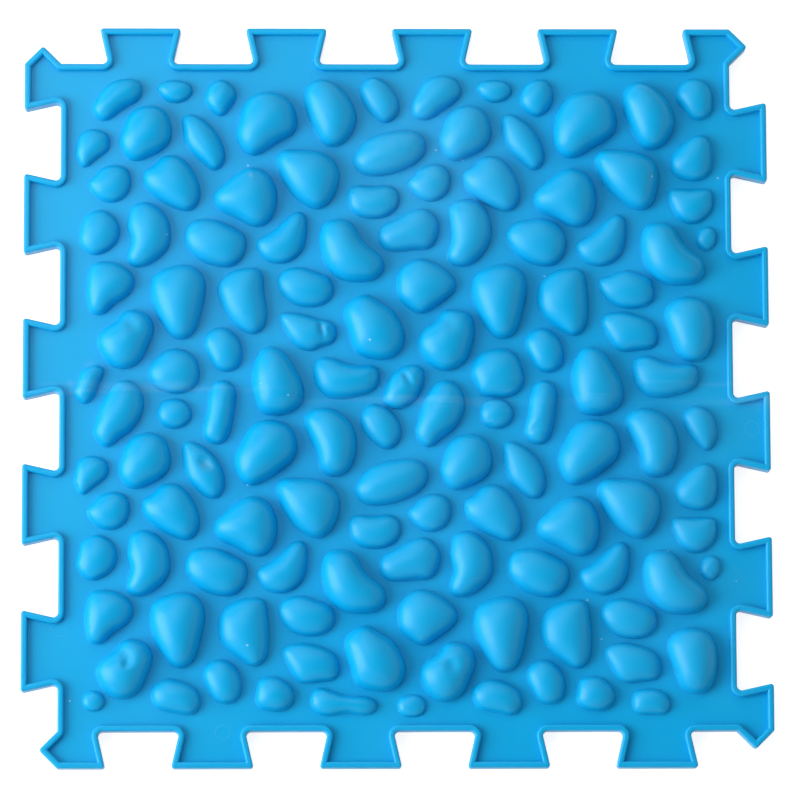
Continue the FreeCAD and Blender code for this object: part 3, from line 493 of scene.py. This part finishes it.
def set_camera():
    """The photograph's view."""
    lens = bpy.data.cameras.new("camera")
    lens.sensor_width = SENSOR_WIDTH
    lens.lens = CAMERA_FOCUS * SENSOR_WIDTH
    lens.clip_start, lens.clip_end = CAMERA_CLIP
    camera = bpy.data.objects.new("camera", lens)
    bpy.context.scene.collection.objects.link(camera)
    tilt, side = math.radians(CAMERA_TILT), math.radians(CAMERA_SIDE)
    ahead = Vector((-math.sin(side) * math.cos(tilt), math.sin(tilt), -math.cos(tilt))).normalized()
    camera.location = CAMERA_TARGET - ahead * CAMERA_DISTANCE
    right = ahead.cross(Vector((0, 1, 0))).normalized()
    up = right.cross(ahead)
    roll = math.radians(CAMERA_ROLL)
    right, up = right * math.cos(roll) + up * math.sin(roll), up * math.cos(roll) - right * math.sin(roll)
    camera.rotation_euler = Matrix((right, up, -ahead)).transposed().to_euler()
    bpy.context.scene.camera = camera


# Light: a tall soft box on the left, weaker ones beyond the tile, small fills on the other sides,
# and a sky that is bright near the horizon. Each lamp: elevation and direction from +X in degrees,
# distance, width and height in metres, power in watts.

LAMPS = (
    ("left_box", 31, 186, 1.6, 1.3, 1.3, 33.0),
    ("high_box", 64, 138, 0.75, 0.4, 0.4, 1.1),
    ("far_box", 42, 90, 1.0, 0.9, 0.7, 2.5),
    ("right_fill", 40, 0, 1.2, 1.2, 0.9, 1.3),
    ("near_fill", 40, 270, 1.2, 1.2, 0.9, 2.2),
)
SKY_LOW, SKY_HIGH = 3.1, 0.05        # strength at the horizon and overhead
SKY_TURN = 0.42                      # where the sky's even top begins, as the sine of its elevation
FLOOR_GREY = (0.5, 0.5, 0.5)
FLOOR_GLOW = 0.82                    # added where the camera sees the floor, so that it shows white
FLOOR_DROP = 0.02 * MM
FLOOR_PROFILE = ((7.0, 0.0), (8.0, 0.2), (8.6, 0.6), (8.8, 1.3))   # radius and height
FLOOR_SIDES = 96
FLOOR_ROUGHNESS = 0.9
WHITE = (1.0, 1.0, 1.0)


def lamp(name, elevation, direction, distance, width, height, power):
    """A soft lamp that faces the tile."""
    light = bpy.data.lights.new(name, "AREA")
    light.shape = "RECTANGLE"
    light.size, light.size_y, light.energy = width, height, power
    item = bpy.data.objects.new(name, light)
    rise, turn = math.radians(elevation), math.radians(direction)
    aim = Vector((math.cos(rise) * math.cos(turn), math.cos(rise) * math.sin(turn), math.sin(rise)))
    item.location = aim * distance
    item.rotation_euler = aim.to_track_quat("Z", "Y").to_euler()
    item.visible_camera = False
    bpy.context.scene.collection.objects.link(item)


def floor_material():
    """White to the camera and in reflections, and a plain grey to the light that it passes on."""
    material = bpy.data.materials.new("floor_white")
    kit = Nodes(material)
    kit.set(kit.shader.inputs["Base Color"], FLOOR_GREY)
    kit.set(kit.shader.inputs["Roughness"], FLOOR_ROUGHNESS)
    kit.set(kit.shader.inputs["Specular IOR Level"], 0.0)
    kit.set(kit.shader.inputs["Emission Color"], WHITE)
    path = kit.nodes.new("ShaderNodeLightPath").outputs
    seen = kit.math("MAXIMUM", path["Is Camera Ray"], path["Is Glossy Ray"])
    seen = kit.math("MAXIMUM", seen, path["Is Transmission Ray"])
    kit.set(kit.shader.inputs["Emission Strength"], kit.math("MULTIPLY", seen, FLOOR_GLOW))
    return material


def set_floor():
    """A floor that turns up into a wall far off."""
    mesh = bmesh.new()
    turns = np.linspace(0, 2 * math.pi, FLOOR_SIDES, endpoint=False)
    rings = [ring_verts(mesh, radius * np.exp(1j * turns), np.zeros(FLOOR_SIDES), height)
             for radius, height in FLOOR_PROFILE]
    mesh.faces.new(rings[0])
    for low, high in zip(rings, rings[1:]):
        bridge(mesh, low, high)
    data = bpy.data.meshes.new("floor")
    mesh.to_mesh(data)
    mesh.free()
    data.materials.append(floor_material())
    floor = bpy.data.objects.new("floor", data)
    floor.location.z = -FLOOR_DROP
    bpy.context.scene.collection.objects.link(floor)


def set_sky():
    """An even, dim sky, brighter near the horizon."""
    world = bpy.data.worlds.new("sky")
    world.use_nodes = True
    nodes, links = world.node_tree.nodes, world.node_tree.links
    sky = nodes["Background"]
    sky.inputs["Color"].default_value = (*WHITE, 1)
    split = nodes.new("ShaderNodeSeparateXYZ")
    links.new(nodes.new("ShaderNodeTexCoord").outputs["Generated"], split.inputs[0])
    fade = nodes.new("ShaderNodeMapRange")
    fade.interpolation_type = "SMOOTHSTEP"
    settings = {"From Min": 0.0, "From Max": SKY_TURN, "To Min": SKY_LOW, "To Max": SKY_HIGH}
    for name, value in settings.items():
        fade.inputs[name].default_value = value
    links.new(split.outputs["Z"], fade.inputs["Value"])
    links.new(fade.outputs[0], sky.inputs["Strength"])
    bpy.context.scene.world = world


set_camera()
set_floor()
set_sky()
for settings in LAMPS:
    lamp(*settings)
plastic = soft_plastic("soft_plastic")
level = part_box("field_sheet")[1].z
for name, node in sorted(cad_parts.items()):
    piece = pebble_piece(name, node, level) if name.startswith(PEBBLE_PREFIX) else node
    piece.data.materials.clear()
    piece.data.materials.append(plastic)

bpy.context.scene.view_settings.view_transform = "Standard"
